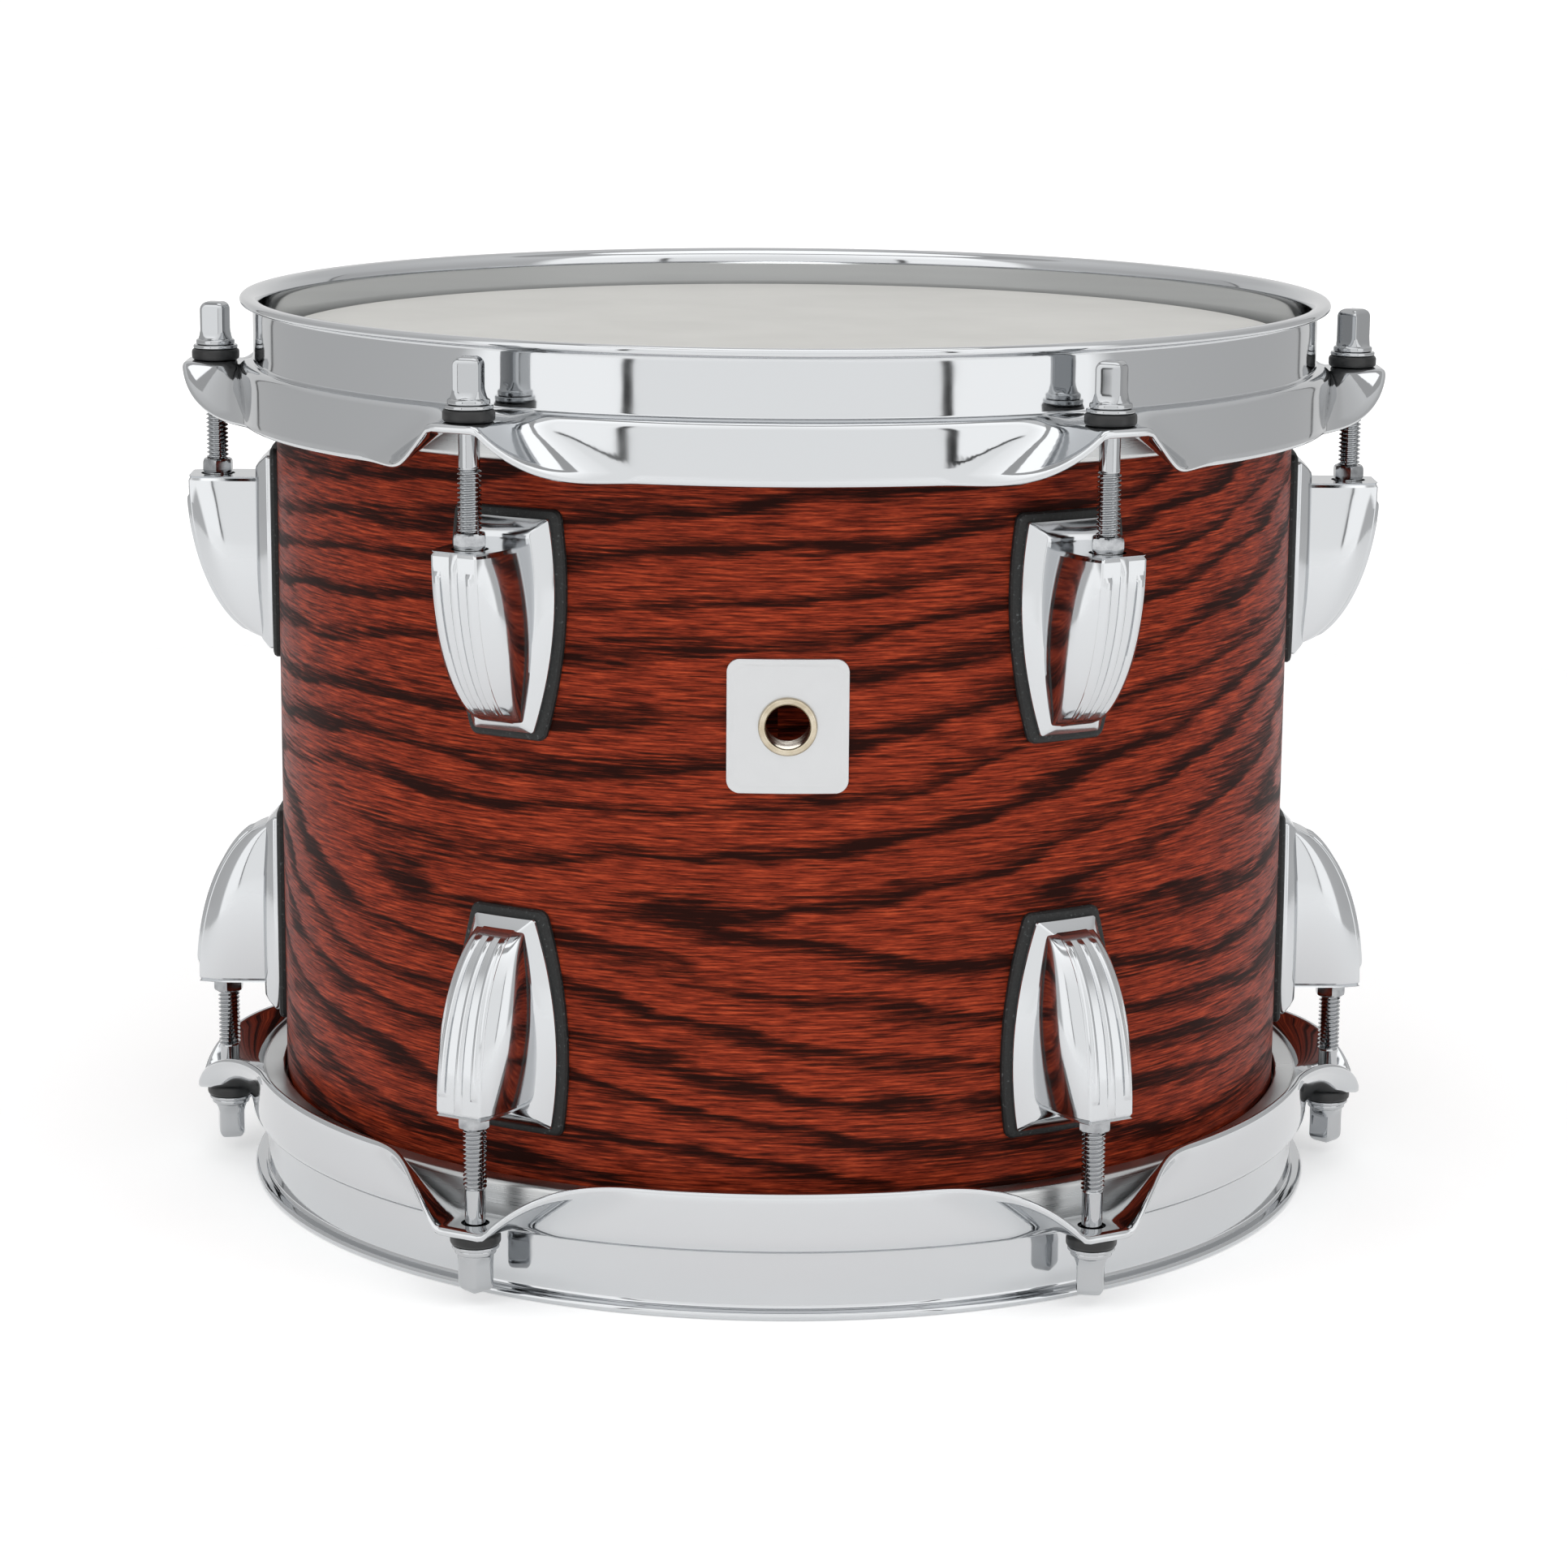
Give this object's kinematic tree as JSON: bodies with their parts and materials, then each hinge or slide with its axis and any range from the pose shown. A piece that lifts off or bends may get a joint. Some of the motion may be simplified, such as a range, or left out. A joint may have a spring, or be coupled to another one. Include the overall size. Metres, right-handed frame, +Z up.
{
  "type": "tom tom drum",
  "caption": "Small double-headed rack tom: stained oak ply shell, coated heads, pressed chrome hoops, cast lugs on rubber gaskets and square-drive tension rods.",
  "frame": {"origin": "centre of the plane that the lower rim rests on, under the shell's axis", "axes": "+Z up along the shell's axis towards the batter head, -Y towards the badge, +X to the right seen from the badge"},
  "size_m": [0.2994, 0.271, 0.2225],
  "materials": {
    "oak_shell": "red stained open-grain oak veneer, satin lacquer",
    "hoop_chrome": "polished chrome plate on pressed steel",
    "rod_chrome": "chrome plate on rolled-thread steel",
    "lug_chrome": "polished chrome plate on die-cast zinc",
    "nut_steel": "plated machined steel",
    "spring_steel": "blued spring steel",
    "screw_steel": "zinc-plated steel",
    "flesh_aluminium": "rolled aluminium channel, brushed",
    "badge_plate": "satin silver plate",
    "nickel_eyelet": "nickel plate, warm satin",
    "coated_film": "sprayed white coating on polyester film",
    "gasket_rubber": "moulded, finely textured",
    "washer_nylon": "moulded black nylon"
  },
  "bodies": {
    "shell": {"shell": "oak_shell", "badge": "badge_plate", "vent_grommet": "nickel_eyelet", "batter_lug_1": "lug_chrome", "batter_lug_gasket_1": "gasket_rubber", "batter_lug_2": "lug_chrome", "batter_lug_gasket_2": "gasket_rubber", "batter_lug_3": "lug_chrome", "batter_lug_gasket_3": "gasket_rubber", "batter_lug_4": "lug_chrome", "batter_lug_gasket_4": "gasket_rubber", "batter_lug_5": "lug_chrome", "batter_lug_gasket_5": "gasket_rubber", "batter_lug_6": "lug_chrome", "batter_lug_gasket_6": "gasket_rubber", "batter_swivel_nuts": "nut_steel", "batter_nut_clips": "spring_steel", "batter_lug_screws": "screw_steel", "batter_lug_screw_washers": "screw_steel", "resonant_lug_1": "lug_chrome", "resonant_lug_gasket_1": "gasket_rubber", "resonant_lug_2": "lug_chrome", "resonant_lug_gasket_2": "gasket_rubber", "resonant_lug_3": "lug_chrome", "resonant_lug_gasket_3": "gasket_rubber", "resonant_lug_4": "lug_chrome", "resonant_lug_gasket_4": "gasket_rubber", "resonant_lug_5": "lug_chrome", "resonant_lug_gasket_5": "gasket_rubber", "resonant_lug_6": "lug_chrome", "resonant_lug_gasket_6": "gasket_rubber", "resonant_swivel_nuts": "nut_steel", "resonant_nut_clips": "spring_steel", "resonant_lug_screws": "screw_steel", "resonant_lug_screw_washers": "screw_steel"},
    "batter_hoop": {"batter_hoop": "hoop_chrome", "batter_rod_soft_washers": "washer_nylon", "batter_rod_steel_washers": "rod_chrome"},
    "batter_head": {"batter_head_film": "coated_film", "batter_flesh_hoop": "flesh_aluminium"},
    "batter_rod_1": {"batter_tension_rod_1": "rod_chrome"},
    "batter_rod_2": {"batter_tension_rod_2": "rod_chrome"},
    "batter_rod_3": {"batter_tension_rod_3": "rod_chrome"},
    "batter_rod_4": {"batter_tension_rod_4": "rod_chrome"},
    "batter_rod_5": {"batter_tension_rod_5": "rod_chrome"},
    "batter_rod_6": {"batter_tension_rod_6": "rod_chrome"},
    "resonant_hoop": {"resonant_hoop": "hoop_chrome", "resonant_rod_soft_washers": "washer_nylon", "resonant_rod_steel_washers": "rod_chrome"},
    "resonant_head": {"resonant_head_film": "coated_film", "resonant_flesh_hoop": "flesh_aluminium"},
    "resonant_rod_1": {"resonant_tension_rod_1": "rod_chrome"},
    "resonant_rod_2": {"resonant_tension_rod_2": "rod_chrome"},
    "resonant_rod_3": {"resonant_tension_rod_3": "rod_chrome"},
    "resonant_rod_4": {"resonant_tension_rod_4": "rod_chrome"},
    "resonant_rod_5": {"resonant_tension_rod_5": "rod_chrome"},
    "resonant_rod_6": {"resonant_tension_rod_6": "rod_chrome"}
  },
  "joints": [
    {"name": "batter_hoop_lift", "type": "slide", "parent": "shell", "child": "batter_hoop", "axis": [0, 0, 1], "range_m": [0, 0.03]},
    {"name": "batter_head_lift", "type": "slide", "parent": "shell", "child": "batter_head", "axis": [0, 0, 1], "range_m": [0, 0.03]},
    {"name": "batter_rod_1_turn", "type": "hinge", "parent": "batter_hoop", "child": "batter_rod_1", "pos_m": [0.07103, -0.12303, 0.20485], "axis": [0, 0, 1], "continuous": true},
    {"name": "batter_rod_2_turn", "type": "hinge", "parent": "batter_hoop", "child": "batter_rod_2", "pos_m": [0.14206, 0, 0.20485], "axis": [0, 0, 1], "continuous": true},
    {"name": "batter_rod_3_turn", "type": "hinge", "parent": "batter_hoop", "child": "batter_rod_3", "pos_m": [0.07103, 0.12303, 0.20485], "axis": [0, 0, 1], "continuous": true},
    {"name": "batter_rod_4_turn", "type": "hinge", "parent": "batter_hoop", "child": "batter_rod_4", "pos_m": [-0.07103, 0.12303, 0.20485], "axis": [0, 0, 1], "continuous": true},
    {"name": "batter_rod_5_turn", "type": "hinge", "parent": "batter_hoop", "child": "batter_rod_5", "pos_m": [-0.14206, 0, 0.20485], "axis": [0, 0, 1], "continuous": true},
    {"name": "batter_rod_6_turn", "type": "hinge", "parent": "batter_hoop", "child": "batter_rod_6", "pos_m": [-0.07103, -0.12303, 0.20485], "axis": [0, 0, 1], "continuous": true},
    {"name": "resonant_hoop_lift", "type": "slide", "parent": "shell", "child": "resonant_hoop", "axis": [0, 0, -1], "range_m": [0, 0.03]},
    {"name": "resonant_head_lift", "type": "slide", "parent": "shell", "child": "resonant_head", "axis": [0, 0, -1], "range_m": [0, 0.03]},
    {"name": "resonant_rod_1_turn", "type": "hinge", "parent": "resonant_hoop", "child": "resonant_rod_1", "pos_m": [0.07103, -0.12303, 0.01765], "axis": [0, 0, -1], "continuous": true},
    {"name": "resonant_rod_2_turn", "type": "hinge", "parent": "resonant_hoop", "child": "resonant_rod_2", "pos_m": [0.14206, 0, 0.01765], "axis": [0, 0, -1], "continuous": true},
    {"name": "resonant_rod_3_turn", "type": "hinge", "parent": "resonant_hoop", "child": "resonant_rod_3", "pos_m": [0.07103, 0.12303, 0.01765], "axis": [0, 0, -1], "continuous": true},
    {"name": "resonant_rod_4_turn", "type": "hinge", "parent": "resonant_hoop", "child": "resonant_rod_4", "pos_m": [-0.07103, 0.12303, 0.01765], "axis": [0, 0, -1], "continuous": true},
    {"name": "resonant_rod_5_turn", "type": "hinge", "parent": "resonant_hoop", "child": "resonant_rod_5", "pos_m": [-0.14206, 0, 0.01765], "axis": [0, 0, -1], "continuous": true},
    {"name": "resonant_rod_6_turn", "type": "hinge", "parent": "resonant_hoop", "child": "resonant_rod_6", "pos_m": [-0.07103, -0.12303, 0.01765], "axis": [0, 0, -1], "continuous": true}
  ],
  "couplings": [
    {"joint": "batter_head_lift", "follows": "batter_hoop_lift", "ratio": 1},
    {"joint": "batter_rod_1_turn", "follows": "batter_hoop_lift", "rad_per_m": 5936.9},
    {"joint": "batter_rod_2_turn", "follows": "batter_hoop_lift", "rad_per_m": 5936.9},
    {"joint": "batter_rod_3_turn", "follows": "batter_hoop_lift", "rad_per_m": 5936.9},
    {"joint": "batter_rod_4_turn", "follows": "batter_hoop_lift", "rad_per_m": 5936.9},
    {"joint": "batter_rod_5_turn", "follows": "batter_hoop_lift", "rad_per_m": 5936.9},
    {"joint": "batter_rod_6_turn", "follows": "batter_hoop_lift", "rad_per_m": 5936.9},
    {"joint": "resonant_head_lift", "follows": "resonant_hoop_lift", "ratio": 1},
    {"joint": "resonant_rod_1_turn", "follows": "resonant_hoop_lift", "rad_per_m": 5936.9},
    {"joint": "resonant_rod_2_turn", "follows": "resonant_hoop_lift", "rad_per_m": 5936.9},
    {"joint": "resonant_rod_3_turn", "follows": "resonant_hoop_lift", "rad_per_m": 5936.9},
    {"joint": "resonant_rod_4_turn", "follows": "resonant_hoop_lift", "rad_per_m": 5936.9},
    {"joint": "resonant_rod_5_turn", "follows": "resonant_hoop_lift", "rad_per_m": 5936.9},
    {"joint": "resonant_rod_6_turn", "follows": "resonant_hoop_lift", "rad_per_m": 5936.9}
  ]
}
